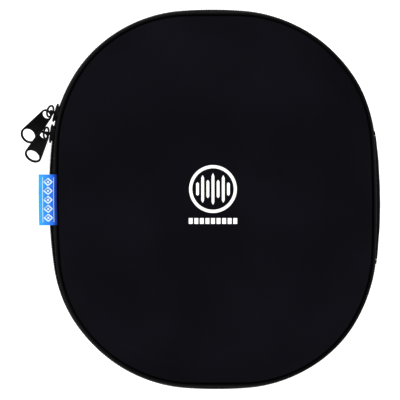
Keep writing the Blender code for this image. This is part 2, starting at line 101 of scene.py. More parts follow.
class Oval:
    """A closed outline of eight tangent arcs, symmetrical about its centre at (x, 0)."""

    def __init__(self, x, a, b, r_side, r_end, r_corner):
        self.middle = np.array([x, 0.0])
        self.radii = np.array([r_side, r_corner, r_end])
        side, end = np.array([a - r_side, 0.0]), np.array([0.0, b - r_end])
        corner = circles_meet(side, r_side - r_corner, end, r_end - r_corner)
        self.centres = np.array([side, corner, end])
        self.turns = [math.atan2(*(corner - c)[::-1]) for c in (side, end)]

    def arc_of(self, headings):
        first = np.arctan2(abs(np.sin(headings)), abs(np.cos(headings)))
        return np.where(first <= self.turns[0], 0, np.where(first >= self.turns[1], 2, 1))

    def at(self, headings):
        """Points of the outline with these outward headings, and the normals there."""
        headings = np.asarray(headings, float)
        arc = self.arc_of(headings)
        normals = np.stack([np.cos(headings), np.sin(headings)], -1)
        signs = np.where(normals < 0, -1.0, 1.0)
        points = self.middle + self.centres[arc] * signs + normals * self.radii[arc][..., None]
        return points, normals

    def distance(self, points):
        """How far points lie outside the outline; negative inside."""
        q = np.abs(points - self.middle)
        away = [q - c for c in self.centres]
        on_side = np.arctan2(away[0][..., 1], away[0][..., 0]) <= self.turns[0]
        on_end = np.arctan2(away[2][..., 1], away[2][..., 0]) >= self.turns[1]
        gaps = [np.linalg.norm(a, axis=-1) - r for a, r in zip(away, self.radii)]
        return np.where(on_side, gaps[0], np.where(on_end, gaps[2], gaps[1]))


SHELL_LINE, ZIP_LINE = Oval(**SHELL_OVAL), Oval(**ZIP_OVAL)


def even_headings(count, start=0.0, stop=360.0):
    """Headings whose points stand at even distances along the shell's outline."""
    dense = np.radians(np.linspace(start, stop, 4001))
    middle = (dense[1:] + dense[:-1]) / 2
    lengths = SHELL_LINE.radii[SHELL_LINE.arc_of(middle)] * np.diff(dense)
    run = np.concatenate([[0], np.cumsum(lengths)])
    return np.interp(np.linspace(0, run[-1], count), run, dense), run[-1]


def zip_offset(headings):
    """How far the coil's outer face stands outside the shell's outline."""
    points, normals = SHELL_LINE.at(headings)
    reach = np.zeros(len(points))
    for _ in range(6):
        reach -= ZIP_LINE.distance(points + normals * reach[:, None])
    return reach


def heading_at(y):
    """Heading in degrees of the shell outline at a distance along its +X side."""
    side, corner = SHELL_LINE.radii[:2]
    if abs(y) <= side * math.sin(SHELL_LINE.turns[0]):
        return math.degrees(math.asin(y / side))
    past = (abs(y) - SHELL_LINE.centres[1][1]) / corner
    return math.copysign(math.degrees(math.asin(past)), y)


def skewed(flat):
    """The outline's ends lean a little off square, as the soft shell's do."""
    share = np.clip((abs(flat[:, 1]) - SKEW_FROM) / (SKEW_TO - SKEW_FROM), 0, 1)
    share = share * share * (3 - 2 * share)
    return flat - np.column_stack([np.zeros(len(flat)), SKEW * flat[:, 0] * share])


def place(headings, out, height, half):
    """World points at headings, a distance out of the shell's outline and a height."""
    points, normals = SHELL_LINE.at(headings)
    flat = skewed(points + normals * np.broadcast_to(out, len(points))[:, None])
    z = MIDDLE + half * np.broadcast_to(height, len(points))
    return np.column_stack([flat, z]) * MM


def profile_rows(profile, headings, half):
    """World points of a profile of (line, out, height), one row for each profile point."""
    bulge = zip_offset(headings)
    return np.array([
        place(headings, n + (bulge if line == "zip" else 0.0), z, half) for line, n, z in profile
    ])


# ---- Mesh helpers --------------------------------------------------------

def make_object(name, points, faces, uvs=None, smooth=40):
    """An object from points and faces, with a UV for each face corner if given."""
    mesh = bpy.data.meshes.new(name)
    mesh.from_pydata([tuple(p) for p in points], [], faces)
    if uvs is not None:
        layer = mesh.uv_layers.new(name="cloth")
        layer.data.foreach_set("uv", np.asarray(uvs, np.float32).ravel())
    mesh.validate()
    mesh.shade_smooth()
    mesh.set_sharp_from_angle(angle=math.radians(smooth))
    obj = bpy.data.objects.new(name, mesh)
    bpy.context.scene.collection.objects.link(obj)
    return obj


def running_length(rows):
    """Distance along the rows' first column, in millimetres."""
    steps = np.linalg.norm(np.diff(rows[:, 0], axis=0), axis=1) / MM
    return np.concatenate([[0], np.cumsum(steps)])


def grid_object(name, rows, us, vs, closed_rows=False, closed_columns=True, caps=False, smooth=40):
    """A surface through a grid of points. us and vs are UVs with one extra entry where it closes."""
    high, wide = rows.shape[:2]
    faces, uvs = [], []
    for i in range(high if closed_rows else high - 1):
        for j in range(wide if closed_columns else wide - 1):
            corners = [(i, j), (i, j + 1), (i + 1, j + 1), (i + 1, j)]
            faces.append([(a % high) * wide + b % wide for a, b in corners])
            uvs += [(us[a, b], vs[a, b]) for a, b in corners]
    for ring, turn in ((0, 1), (high - 1, -1)) if caps == "rows" else ():
        cap = [ring * wide + j for j in range(wide)][::turn]
        faces.append(cap)
        uvs += [(us[ring, j], vs[ring, j]) for j in range(wide)][::turn]
    for column, turn in ((0, -1), (wide - 1, 1)) if caps == "columns" else ():
        cap = [i * wide + column for i in range(high)][::turn]
        faces.append(cap)
        uvs += [(us[i, column], vs[i, column]) for i in range(high)][::turn]
    obj = make_object(name, rows.reshape(-1, 3), faces, uvs, smooth)
    outward(obj)
    return obj


def outward(obj):
    bm = bmesh.new()
    bm.from_mesh(obj.data)
    bmesh.ops.recalc_face_normals(bm, faces=bm.faces)
    bm.to_mesh(obj.data)
    bm.free()


def band_uvs(rows, length, closed_rows):
    """UVs in millimetres for a swept band: along it, and round its section."""
    wide = rows.shape[1]
    across = running_length(rows)
    if closed_rows:
        across = np.append(across, across[-1] + np.linalg.norm(rows[0, 0] - rows[-1, 0]) / MM)
    along = np.linspace(0, length, wide + 1)
    return np.meshgrid(along, across)


def sweep(name, profile, half, spacing=2.0, span=None, smooth=50):
    """Carries a closed profile round the outline, or along part of it with its ends capped."""
    start, stop = span or (0.0, 360.0)
    length = even_headings(2, start, stop)[1]
    count = max(4, int(length / spacing))
    headings = even_headings(count + 1, start, stop)[0]
    if span is None:
        headings = headings[:-1]
    rows = profile_rows(profile, headings, half)
    us, vs = band_uvs(rows, length, True)
    caps = "columns" if span else False
    return grid_object(name, rows, us, vs, True, span is None, caps, smooth)


def add_modifier_and_apply(obj, kind, **settings):
    modifier = obj.modifiers.new(kind.lower(), kind)
    for key, value in settings.items():
        setattr(modifier, key, value)
    apply_modifiers(obj)


def apply_modifiers(obj):
    bpy.context.view_layer.update()
    evaluated = obj.evaluated_get(bpy.context.evaluated_depsgraph_get())
    mesh = bpy.data.meshes.new_from_object(evaluated)
    obj.modifiers.clear()
    old, obj.data = obj.data, mesh
    bpy.data.meshes.remove(old)
    mesh.shade_smooth()
    mesh.set_sharp_from_angle(angle=math.radians(35))


def finish_piece(obj, body, material, replaces=()):
    obj.data.materials.clear()
    obj.data.materials.append(material)
    if body:
        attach(obj, body)
    if replaces:
        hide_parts(*replaces)
    return obj


def ripple(points, scale, amount, seed):
    """Slow unevenness of a moulded soft surface, as a height for each point."""
    offset = Vector((seed, seed * 0.7, -seed))
    return np.array([noise.noise(Vector(p) / scale + offset) for p in points]) * amount


# ---- Materials -----------------------------------------------------------

class Look:
    """A material's node tree, with short helpers for its maths."""

    def __init__(self, name, roughness=0.8, metallic=0.0, **sockets):
        self.material = bpy.data.materials.new(name)
        self.material.use_nodes = True
        self.nodes, self.links = self.material.node_tree.nodes, self.material.node_tree.links
        self.shader = self.nodes["Principled BSDF"]
        self.shader.inputs["Roughness"].default_value = roughness
        self.shader.inputs["Metallic"].default_value = metallic
        for label, value in sockets.items():
            self.shader.inputs[label.replace("_", " ")].default_value = value

    def feed(self, socket, value):
        if isinstance(value, bpy.types.NodeSocket):
            self.links.new(value, socket)
        else:
            socket.default_value = value

    def math(self, operation, *values, clamp=False):
        node = self.nodes.new("ShaderNodeMath")
        node.operation = operation
        node.use_clamp = clamp
        for socket, value in zip(node.inputs, values):
            self.feed(socket, value)
        return node.outputs[0]

    def cloth(self):
        """The cloth's own coordinates, in millimetres."""
        node = self.nodes.new("ShaderNodeUVMap")
        node.uv_map = "cloth"
        split = self.nodes.new("ShaderNodeSeparateXYZ")
        self.links.new(node.outputs[0], split.inputs[0])
        return split.outputs[0], split.outputs[1]

    def solid(self, scale):
        """The object's coordinates, scaled from metres."""
        node = self.nodes.new("ShaderNodeTexCoord")
        times = self.nodes.new("ShaderNodeVectorMath")
        times.operation = "SCALE"
        times.inputs["Scale"].default_value = scale
        self.links.new(node.outputs["Object"], times.inputs[0])
        return times.outputs[0]

    def noise(self, scale, detail=3.0, vector=None):
        node = self.nodes.new("ShaderNodeTexNoise")
        node.inputs["Scale"].default_value = 1.0
        node.inputs["Detail"].default_value = detail
        self.links.new(vector or self.solid(scale), node.inputs["Vector"])
        return node.outputs[0]

    def span(self, value, low, high, to_low=0.0, to_high=1.0):
        node = self.nodes.new("ShaderNodeMapRange")
        for socket, number in zip(node.inputs, (value, low, high, to_low, to_high)):
            self.feed(socket, number)
        return node.outputs[0]

    def mix(self, factor, first, second):
        node = self.nodes.new("ShaderNodeMix")
        node.data_type = "RGBA"
        self.feed(node.inputs["Factor"], factor)
        for socket, value in ((node.inputs[6], first), (node.inputs[7], second)):
            self.feed(socket, value if isinstance(value, bpy.types.NodeSocket) else (*value, 1.0))
        return node.outputs[2]

    def colour(self, value):
        self.feed(self.shader.inputs["Base Color"], value)

    def rough(self, value):
        self.feed(self.shader.inputs["Roughness"], value)

    def bump(self, height, distance, strength=1.0, under=None):
        node = self.nodes.new("ShaderNodeBump")
        node.inputs["Strength"].default_value = strength
        node.inputs["Distance"].default_value = distance
        self.feed(node.inputs["Height"], height)
        if under is not None:
            self.links.new(under, node.inputs["Normal"])
        self.links.new(node.outputs[0], self.shader.inputs["Normal"])
        return node.outputs[0]

    def hump(self, value):
        """A rounded ridge over each whole number, from 0 at its edges to 1."""
        return self.math("SINE", self.math("MULTIPLY", self.math("FRACT", value), math.pi))

    def weave(self, thread, under=1):
        """Height of a plain weave and which way its upper thread runs (0 or 1)."""
        u, v = self.cloth()
        x, y = self.math("DIVIDE", u, thread), self.math("DIVIDE", v, thread)
        cells = self.math("ADD", self.math("FLOOR", self.math("DIVIDE", x, under)),
                          self.math("FLOOR", self.math("DIVIDE", y, under)))
        over = self.math("PINGPONG", cells, 1.0)
        across, along = self.hump(x), self.hump(y)
        warp = self.math("MULTIPLY", self.math("POWER", across, 0.6),
                         self.math("ADD", self.math("MULTIPLY", along, 0.45), 0.55))
        weft = self.math("MULTIPLY", self.math("POWER", along, 0.6),
                         self.math("ADD", self.math("MULTIPLY", across, 0.45), 0.55))
        down = self.math("SUBTRACT", 1.0, over)
        height = self.math("ADD", self.math("MULTIPLY", warp, over), self.math("MULTIPLY", weft, down))
        return height, over


def woven_fabric(name, dark, light, thread, depth, shine):
    """Plain-woven synthetic cloth: two thread shades, dark gaps, slow fading, fine lint."""
    look = Look(name, 0.7, Specular_IOR_Level=shine)
    height, over = look.weave(thread)
    fade = look.span(look.noise(18, 2), 0.35, 0.7)
    thread_colour = look.mix(over, dark, light)
    gaps = look.mix(look.span(height, 0.1, 0.75), tuple(c * 0.3 for c in dark), thread_colour)
    worn = look.mix(look.math("MULTIPLY", fade, 0.2), gaps, tuple(c * 1.6 for c in light))
    lint = look.span(look.noise(900, 1), 0.76, 0.82)
    look.colour(look.mix(look.math("MULTIPLY", lint, 0.06), worn, (0.08, 0.08, 0.09)))
    look.rough(look.span(look.noise(60, 2), 0.3, 0.7, 0.62, 0.76))
    fibres = look.math("MULTIPLY", look.noise(2600, 2), 0.25)
    look.bump(look.math("ADD", height, fibres), depth * MM)
    return look.material


def ribbed_fabric(name, dark, light, pitch, slope, depth, shine):
    """Tape, binding or elastic: fine ribs that run at a slope across it."""
    look = Look(name, 0.65, Specular_IOR_Level=shine)
    u, v = look.cloth()
    lean = look.math("MULTIPLY", look.math("PINGPONG", v, 2.2), slope)
    ribs = look.hump(look.math("DIVIDE", look.math("ADD", u, lean), pitch))
    picks = look.hump(look.math("DIVIDE", v, pitch * 0.8))
    height = look.math("ADD", look.math("MULTIPLY", ribs, 0.7), look.math("MULTIPLY", picks, 0.3))
    shade = look.mix(look.span(height, 0.15, 0.9), dark, light)
    patch = look.span(look.noise(35, 2), 0.4, 0.75, 0.0, 0.3)
    look.colour(look.mix(patch, shade, tuple(c * 1.7 for c in light)))
    look.bump(look.math("ADD", height, look.math("MULTIPLY", look.noise(2400, 2), 0.2)), depth * MM)
    return look.material


def lacquered_metal():
    """Black lacquer over die-cast zinc, thin and scuffed where it stands proud."""
    look = Look("black_lacquered_metal", 0.38, Specular_IOR_Level=0.02)
    edge = look.nodes.new("ShaderNodeNewGeometry").outputs["Pointiness"]
    scuff = look.math("MULTIPLY", look.span(edge, 0.53, 0.62), look.span(look.noise(420, 4), 0.42, 0.62))
    dirt = look.span(look.noise(160, 3), 0.35, 0.7)
    grime = look.mix(dirt, (0.0012, 0.0012, 0.0014), (0.0028, 0.0027, 0.0030))
    look.colour(look.mix(look.math("MULTIPLY", scuff, 0.7), grime, (0.014, 0.0135, 0.013)))
    look.rough(look.span(look.noise(700, 4), 0.3, 0.75, 0.30, 0.50))
    look.bump(look.noise(1500, 3), 0.02 * MM)
    return look.material


def nylon():
    """Drawn nylon filament of the coil: smooth, a little translucent-looking and dusty."""
    look = Look("black_nylon_coil", 0.42, Specular_IOR_Level=0.12)
    dust = look.span(look.noise(500, 3), 0.45, 0.8)
    look.colour(look.mix(look.math("MULTIPLY", dust, 0.4), (0.0032, 0.0031, 0.0034), (0.010, 0.010, 0.011)))
    look.rough(look.span(look.noise(900, 2), 0.3, 0.7, 0.34, 0.52))
    look.bump(look.noise(3000, 2), 0.015 * MM)
    return look.material


def brushed_knit():
    """Short-napped lining: soft flecks of nap over a fine knit."""
    look = Look("black_brushed_lining", 0.95, Specular_IOR_Level=0.03)
    u, v = look.cloth()
    wales, courses = look.hump(look.math("DIVIDE", u, 1.1)), look.hump(look.math("DIVIDE", v, 0.8))
    stitches = look.math("MULTIPLY", wales, courses)
    nap = look.noise(1600, 4)
    brushed = look.span(look.noise(40, 3), 0.35, 0.7)
    tone = look.mix(look.span(nap, 0.35, 0.7), (0.0045, 0.0045, 0.0052), (0.014, 0.014, 0.016))
    look.colour(look.mix(look.math("MULTIPLY", brushed, 0.35), tone, (0.020, 0.020, 0.023)))
    height = look.math("ADD", look.math("MULTIPLY", nap, 0.8), look.math("MULTIPLY", stitches, 0.2))
    look.bump(height, 0.25 * MM)
    return look.material


def damask(name, deep, bright, painted_shade=()):
    """Fine satin-woven label: tight picks across it, with painted shade that steps to a darker tone nearer
    its seam.
    """
    look = Look(name, 0.5, Specular_IOR_Level=0.15)
    u, v = look.cloth()
    picks = look.hump(look.math("DIVIDE", v, 0.28))
    ends = look.hump(look.math("DIVIDE", u, 0.45))
    height = look.math("ADD", look.math("MULTIPLY", picks, 0.75), look.math("MULTIPLY", ends, 0.25))
    tone = bright
    # painted shade: each step darkens the label towards its seam, where it dips into the shaded groove
    for start, stop, shade in painted_shade:
        tone = look.mix(look.span(v, start, stop), tone, shade)
    streak = look.span(look.noise(250, 3), 0.35, 0.75, 0.0, 0.25)
    tone = look.mix(streak, tone, deep)
    shade = look.span(height, 0.1, 0.9, 0.45, 0.0)
    look.colour(look.mix(shade, tone, deep))
    look.bump(height, 0.06 * MM)
    return look.material


def printed_ink():
    """White screen print that has sunk into the weave and thinned on its threads."""
    look = Look("white_screen_print", 0.55)
    height, _ = look.weave(0.75)
    thin = look.span(look.noise(350, 4), 0.62, 0.78)
    ink = look.mix(look.span(height, 0.02, 0.35), (0.42, 0.42, 0.42), (0.80, 0.80, 0.79))
    look.colour(look.mix(look.math("MULTIPLY", thin, 0.35), ink, (0.35, 0.35, 0.36)))
    look.bump(height, 0.05 * MM)
    return look.material


def plain_floor():
    look = Look("pale_floor", 0.7, Emission_Color=(1.0, 1.0, 1.0, 1.0), Emission_Strength=0.5)
    look.colour(look.mix(look.noise(3, 2), (0.80, 0.80, 0.80), (0.84, 0.84, 0.84)))
    return look.material


LABEL_PAINTED_SHADE = (                 # painted light and shade, from a lit fold down to a shaded seam: from, to and tone, in millimetres round the label's section
    (13.0, 21.7, (0.0137, 0.153, 0.79)),
    (21.7, 22.9, (0.0012, 0.061, 0.515)),
    (22.9, 24.1, (0.0006, 0.011, 0.098)),
)
MATERIALS = {
    "shell": woven_fabric("black_woven_shell", (0.0024, 0.0023, 0.0034), (0.0062, 0.0060, 0.0086),
                          0.60, 0.16, 0.0),
    "piping": ribbed_fabric("black_piping", (0.0016, 0.0015, 0.0018), (0.0040, 0.0038, 0.0044),
                            0.55, 1.0, 0.10, 0.05),
    "tape": ribbed_fabric("black_zip_tape", (0.0016, 0.0015, 0.0018), (0.0040, 0.0038, 0.0044),
                          0.60, 0.7, 0.12, 0.04),
    "spine": woven_fabric("black_woven_hinge", (0.0024, 0.0023, 0.0034), (0.0062, 0.0060, 0.0086),
                          0.60, 0.16, 0.0),
    "elastic": ribbed_fabric("black_elastic", (0.0030, 0.0030, 0.0034), (0.0080, 0.0080, 0.0086),
                             0.9, 0.0, 0.30, 0.05),
    "net": ribbed_fabric("black_net", (0.0040, 0.0040, 0.0044), (0.0090, 0.0090, 0.0096),
                         0.35, 0.5, 0.05, 0.05),
    "thread": ribbed_fabric("black_thread", (0.0022, 0.0022, 0.0025), (0.0060, 0.0060, 0.0066),
                            0.25, 1.0, 0.04, 0.08),
    "coil": nylon(),
    "metal": lacquered_metal(),
    "lining": brushed_knit(),
    # the label's bright tone is painted light on its lit outer fold, and the steps after it paint shade down
    # to its seam
    "label": damask("blue_woven_label", (0.002, 0.035, 0.30), (0.032, 0.40, 0.96), LABEL_PAINTED_SHADE),
    "label_mark": damask("pale_woven_motif", (0.40, 0.58, 0.70), (0.66, 0.80, 0.88)),
    "ink": printed_ink(),
}


# ---- Shell halves and linings --------------------------------------------

def shoulder(inset, top_z, steps):
    """Out and height of the shoulder's points, from the wall's end to its top."""
    angles = np.linspace(0, math.pi / 2, steps + 1)[1:]
    centre = -WALL_DRAFT - SHOULDER
    return [(centre + (SHOULDER - inset) * math.cos(a),
             WALL_TOP_Z + (top_z - WALL_TOP_Z) * math.sin(a)) for a in angles]


def tray_face(side, inset, rim_z, top_z, headings, wall_steps=6, shoulder_steps=10, top_steps=12):
    """One face of a half, rim to centre: its rows of points and the cloth's flat lay."""
    half, crown = HALF[side], CROWN[side]
    walls = [(-inset - WALL_DRAFT * (z - RIM_Z) / (WALL_TOP_Z - RIM_Z), z)
             for z in np.linspace(rim_z, WALL_TOP_Z, wall_steps)]
    path = np.array(walls + shoulder(inset, top_z, shoulder_steps))
    rows = [place(headings, n, z, half) for n, z in path]
    drop = np.linalg.norm(np.diff(path, axis=0), axis=1)
    below = np.concatenate([np.cumsum(drop[::-1])[::-1], [0]])
    points, normals = SHELL_LINE.at(headings)
    flat_edge = points + normals * path[-1, 0]
    lays = [flat_edge + normals * reach for reach in below]
    for scale in np.linspace(1, 0.02, top_steps + 1)[1:]:
        row = rows[len(path) - 1] * (scale, scale, 1)
        row[:, 2] += half * crown * (1 - scale ** 2) * MM
        rows.append(row)
        lays.append(flat_edge * scale)
    return rows, lays


def tray(name, side, outer, inner, count=320, uneven=0.10):
    """A closed half with an outer and an inner face, each (inset, rim height, top height)."""
    headings, _ = even_headings(count + 1)
    headings = headings[:-1]
    out_rows, out_lays = tray_face(side, *outer, headings)
    in_rows, in_lays = tray_face(side, *inner, headings)
    rows = np.array(out_rows[::-1] + in_rows)
    lays = np.array(out_lays[::-1] + in_lays)
    waves = ripple(rows.reshape(-1, 3), 0.035, uneven * MM, 3.0).reshape(rows.shape[:2])
    rows[:, :, 2] += waves * HALF[side]
    rim = len(out_rows)
    away = rows[:, :, :2] / np.linalg.norm(rows[:, :, :2], axis=2, keepdims=True)
    steep = np.zeros(len(rows))
    steep[rim - 7:rim + 7] = 1.0
    rows[:, :, :2] += away * (waves * steep[:, None])[:, :, None] * 0.6
    lays = np.concatenate([lays, lays[:, :1]], axis=1)
    return grid_object(name, rows, lays[:, :, 0], lays[:, :, 1], False, True, "rows")


def make_shells():
    shells = {}
    for side, node in SHELL_NODES.items():
        top = MIDDLE - CROWN[side]
        outer, inner = (0.0, RIM_Z, top), (WALL, RIM_Z, top - WALL)
        obj = tray(side + "_shell_cover", side, outer, inner, uneven=0.10 if side == "lid" else 0.0)
        shells[side] = finish_piece(obj, side, MATERIALS["shell"], [node])
    return shells


def make_linings():
    for side in HALF:
        top = MIDDLE - CROWN[side] - WALL - GAP
        outer = (WALL + GAP, LINING_EDGE_Z, top)
        inner = (WALL + GAP + LINING, LINING_EDGE_Z, top - LINING)
        obj = tray(side + "_lining_cloth", side, outer, inner, 240, uneven=0.12)
        finish_piece(obj, side, MATERIALS["lining"], [side + "_lining"])


# ---- Seams ---------------------------------------------------------------

def make_piping(side):
    """A fabric-covered cord."""
    turns = np.linspace(0, 2 * math.pi, 19)[:-1]
    profile = [("shell", PIPING_N + PIPING_R * math.cos(t), PIPING_Z + PIPING_R * math.sin(t)) for t in turns]
    obj = sweep(side + "_piping_cord", profile, HALF[side], 1.6)
    finish_piece(obj, side, MATERIALS["piping"], [side + "_piping"])


def make_binding(side):
    low, inside = RIM_Z - GAP - TAPE, -WALL - GAP
    profile = [
        ("shell", -0.9, RIM_Z - GAP), ("shell", -0.75, RIM_Z - GAP - 0.35), ("shell", -0.9, low),
        ("shell", inside - TAPE + 0.3, low), ("shell", inside - TAPE, low + 0.3),
        ("shell", inside - TAPE - 0.15, 7.2), ("shell", inside - TAPE, 8.9),
        ("shell", inside - TAPE / 2, 9.25), ("shell", inside, 8.9), ("shell", inside, RIM_Z - GAP),
    ]
    obj = sweep(side + "_rim_binding", profile, HALF[side], 2.5)
    finish_piece(obj, side, MATERIALS["tape"], [side + "_seam_binding"])


def stitch_mesh():
    """One lock stitch along +X, a drop-ended thread 1 unit long."""
    points, faces, rings, sides = [], [], 5, 6
    for i in range(rings):
        t = i / (rings - 1)
        x, r = t - 0.5, 0.5 * math.sin(math.pi * (0.12 + 0.76 * t)) ** 0.6
        for k in range(sides):
            a = 2 * math.pi * k / sides
            points.append((x, r * math.cos(a), r * math.sin(a)))
    for i in range(rings - 1):
        for k in range(sides):
            j = (k + 1) % sides
            faces.append([i * sides + k, (i + 1) * sides + k, (i + 1) * sides + j, i * sides + j])
    faces.append(list(range(sides)))
    faces.append([(rings - 1) * sides + k for k in range(sides)][::-1])
    return np.array(points), faces


def stitch_row(name, spots, body, thickness=0.42, length=2.5, pitch=STITCH_PITCH):
    """Stitches along a line of points with surface normals, sunk a little into the cloth."""
    line, normals = spots
    steps = np.linalg.norm(np.diff(line, axis=0), axis=1)
    run = np.concatenate([[0], np.cumsum(steps)])
    places = np.arange(pitch * MM / 2, run[-1] - pitch * MM / 3, pitch * MM)
    shape, shape_faces = stitch_mesh()
    points, faces, uvs = [], [], []
    for s in places:
        at = np.array([np.interp(s, run, line[:, k]) for k in range(3)])
        ahead = np.array([np.interp(s + 0.5 * MM, run, line[:, k]) for k in range(3)]) - at
        along = ahead / np.linalg.norm(ahead)
        up = np.array([np.interp(s, run, normals[:, k]) for k in range(3)])
        up = up - along * (up @ along)
        up /= np.linalg.norm(up)
        side = np.cross(up, along)
        basis = np.stack([along * length, side * thickness, up * thickness * 0.8]) * MM
        base = len(points) * len(shape)
        points.append(at + shape @ basis)
        faces += [[base + k for k in face] for face in shape_faces]
    flat = np.concatenate(points)
    for face in faces:
        uvs += [(flat[k][0] / MM, flat[k][2] / MM) for k in face]
    obj = make_object(name, flat, faces, uvs, 80)
    outward(obj)
    return finish_piece(obj, body, MATERIALS["thread"])


def outline_spots(n, z, tilt, half, span=(0.0, 360.0), line="shell"):
    """Points and outward normals of a seam that follows the outline."""
    headings, _ = even_headings(260, *span)
    out = n + (zip_offset(headings) if line == "zip" else 0.0)
    points = place(headings, out, z, half)
    _, normals = SHELL_LINE.at(headings)
    c, s = math.cos(tilt), math.sin(tilt)
    return points, np.column_stack([normals * c, np.full(len(normals), s * half)])


def make_seams():
    end = heading_at(TAPE_END)
    for side, half in HALF.items():
        make_piping(side)
        make_binding(side)
        stitch_row(side + "_seam_stitches", outline_spots(1.08, 5.85, 0, half, (end, 360 - end)), side)
        inner_seam = outline_spots(-WALL - GAP - TAPE - 0.12, 7.3, math.pi, half)
        stitch_row(side + "_binding_stitches", inner_seam, side)
        coil_seam = outline_spots(-COIL_DEPTH + 0.03, 3.95, 0.3, half, (end, 360 - end), "zip")
        stitch_row(side + "_coil_stitches", coil_seam, side, 0.35, 1.9, 2.5)


# ---- Zip -----------------------------------------------------------------

def make_tape(side):
    face, low = -COIL_DEPTH - 0.02, 0.35
    profile = [
        ("shell", 0.35 + TAPE, TAPE_TOP_Z), ("shell", 0.40 + TAPE, 5.5), ("zip", face - 0.25, 4.6),
        ("zip", face, 3.7), ("zip", face, 2.0), ("zip", face, low + 0.2), ("zip", face - TAPE / 2, low),
        ("zip", face - TAPE, low + 0.2), ("zip", face - TAPE, 2.0), ("zip", face - TAPE, 3.5),
        ("zip", face - TAPE - 0.2, 4.3), ("shell", 0.05, 5.35), ("shell", 0.03, TAPE_TOP_Z),
    ]
    end = heading_at(TAPE_END)
    obj = sweep(side + "_tape_cloth", profile, HALF[side], 2.0, (end, 360 - end))
    finish_piece(obj, side, MATERIALS["tape"], [side + "_zip_tape"])


def make_coil(side):
    """One nylon filament wound into flat loops whose heads cross the middle plane."""
    half = HALF[side]
    end = heading_at(40.3)
    total = even_headings(2, end, 360 - end)[1]
    turns = int(total / TOOTH_PITCH)
    per_turn, sides, wire = 12, 6, 0.39
    count = turns * per_turn
    headings, _ = even_headings(count, end, 360 - end)
    shift = 0.5 if side == "base" else 0.0
    phase = 2 * math.pi * (np.arange(count) / per_turn + shift)
    loop_n, loop_z = 0.56, 2.02
    squared = lambda a: np.sign(a) * np.abs(a) ** 0.72
    n = -COIL_DEPTH / 2 + 0.02 + loop_n * squared(np.cos(phase)) + zip_offset(headings)
    z = 1.30 + loop_z * squared(np.sin(phase))
    centres = place(headings, n, z, half)
    along = np.gradient(centres, axis=0)
    along /= np.linalg.norm(along, axis=1)[:, None]
    _, flat_normals = SHELL_LINE.at(headings)
    tangent = np.column_stack([-flat_normals[:, 1], flat_normals[:, 0], np.zeros(count)])
    first = tangent - along * np.sum(tangent * along, axis=1)[:, None]
    first /= np.linalg.norm(first, axis=1)[:, None]
    second = np.cross(along, first)
    heads = np.clip((0.55 - z) / 1.2, 0, 1)
    rows = []
    for k in range(sides):
        a = 2 * math.pi * k / sides
        width = wire * (1 + 0.25 * heads)
        rows.append(centres + (first * math.cos(a) + second * math.sin(a)) * (width * MM)[:, None])
    rows = np.array(rows)
    us, vs = np.meshgrid(np.linspace(0, total * 4, count + 1), np.linspace(0, 2.2, sides + 1))
    obj = grid_object(side + "_coil_teeth", rows, us, vs, True, False, "columns", 80)
    finish_piece(obj, side, MATERIALS["coil"], [side + "_zip_coil"])
    return obj


def make_coil_cord(side):
    """The filler cord that runs through the coil's loops."""
    end = heading_at(40.3)
    turns = np.linspace(0, 2 * math.pi, 9)[:-1]
    profile = [("zip", -COIL_DEPTH / 2 + 0.2 * math.cos(t), 1.9 + 0.75 * math.sin(t)) for t in turns]
    obj = sweep(side + "_coil_core", profile, HALF[side], 2.2, (end, 360 - end))
    finish_piece(obj, side, MATERIALS["tape"])


# ---- Hinge ---------------------------------------------------------------

def make_hinge():
    """One folded fabric panel from the base's seam to the lid's."""
    heights = np.array([6.4, 5.4, 4.2, 3.2, 2.2, 1.1, 0.0])
    zip_reach = np.array([0, 0, -0.20, 0.15, 0.40, 0.52, 0.58])
    end = heading_at(SPINE_HALF)
    headings, length = even_headings(45, -end, end)
    bulge = zip_offset(headings)
    share = np.array([0, 0.25, 1, 1, 1, 1, 1])
    outer = []
    for z, reach, part in zip(heights, zip_reach, share):
        n = (1 - part) * 1.55 + part * (bulge + reach)
        outer.append((n, z))
    full = [(n, -z) for n, z in outer] + [(n, z) for n, z in outer[-2::-1]]
    rows = [place(headings, n, z, 1) for n, z in full]
    for n, z in full[::-1]:
        thick = SPINE + 0.3 if abs(z) > RIM_Z - 0.3 else SPINE - 0.1
        rows.append(place(headings, np.asarray(n) - thick, z * 0.96, 1))
    rows = np.array(rows)
    waves = ripple(rows.reshape(-1, 3), 0.012, 0.25 * MM, 8.0).reshape(rows.shape[:2])
    middle = np.cos(np.clip((rows[:, :, 2] / MM - MIDDLE) / 6.4, -1, 1) * math.pi / 2)
    rows[:, :, 0] -= np.abs(waves) * middle
    us, vs = band_uvs(rows, length, True)
    obj = grid_object("hinge_fabric", rows, us, vs, True, False, "columns", 60)
    finish_piece(obj, None, MATERIALS["spine"], ["hinge_spine_base", "hinge_spine_lid"])
    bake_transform(obj)
    for side, half in HALF.items():
        spots = outline_spots(1.62, 5.75, 0, half, (-end, end))
        stitch_row(side + "_hinge_stitches", spots, side)


# ---- Sliders, rings and pulls --------------------------------------------

def joint(name):
    return next(j for j in frame["joints"] if j["name"] == name)


def axes_matrix(x, y, origin):
    """A frame with its X and Y along two square directions."""
    x, y = Vector(x).normalized(), Vector(y).normalized()
    z = x.cross(y)
    turn = Matrix((x, y, z)).transposed().to_4x4()
    return Matrix.Translation(origin) @ turn


def settled_ring(side):
    """Where a ring swings in its bail, and along which axis, once its slider has settled."""
    ring = joint(side + "_ring_swing")
    along = Vector(ring["axis"]).normalized()
    return Vector(ring["pos_m"]) - along * math.copysign(SETTLE[side] * MM, along.y), along


def slider_axes(side):
    """A slider's frame: +X along the zip, +Y out of the case, at the coil's face."""
    origin, along = settled_ring(side)
    out = Vector((0, 0, 1)).cross(along)
    return axes_matrix(along, out, origin - out * TUNNEL_N * MM)


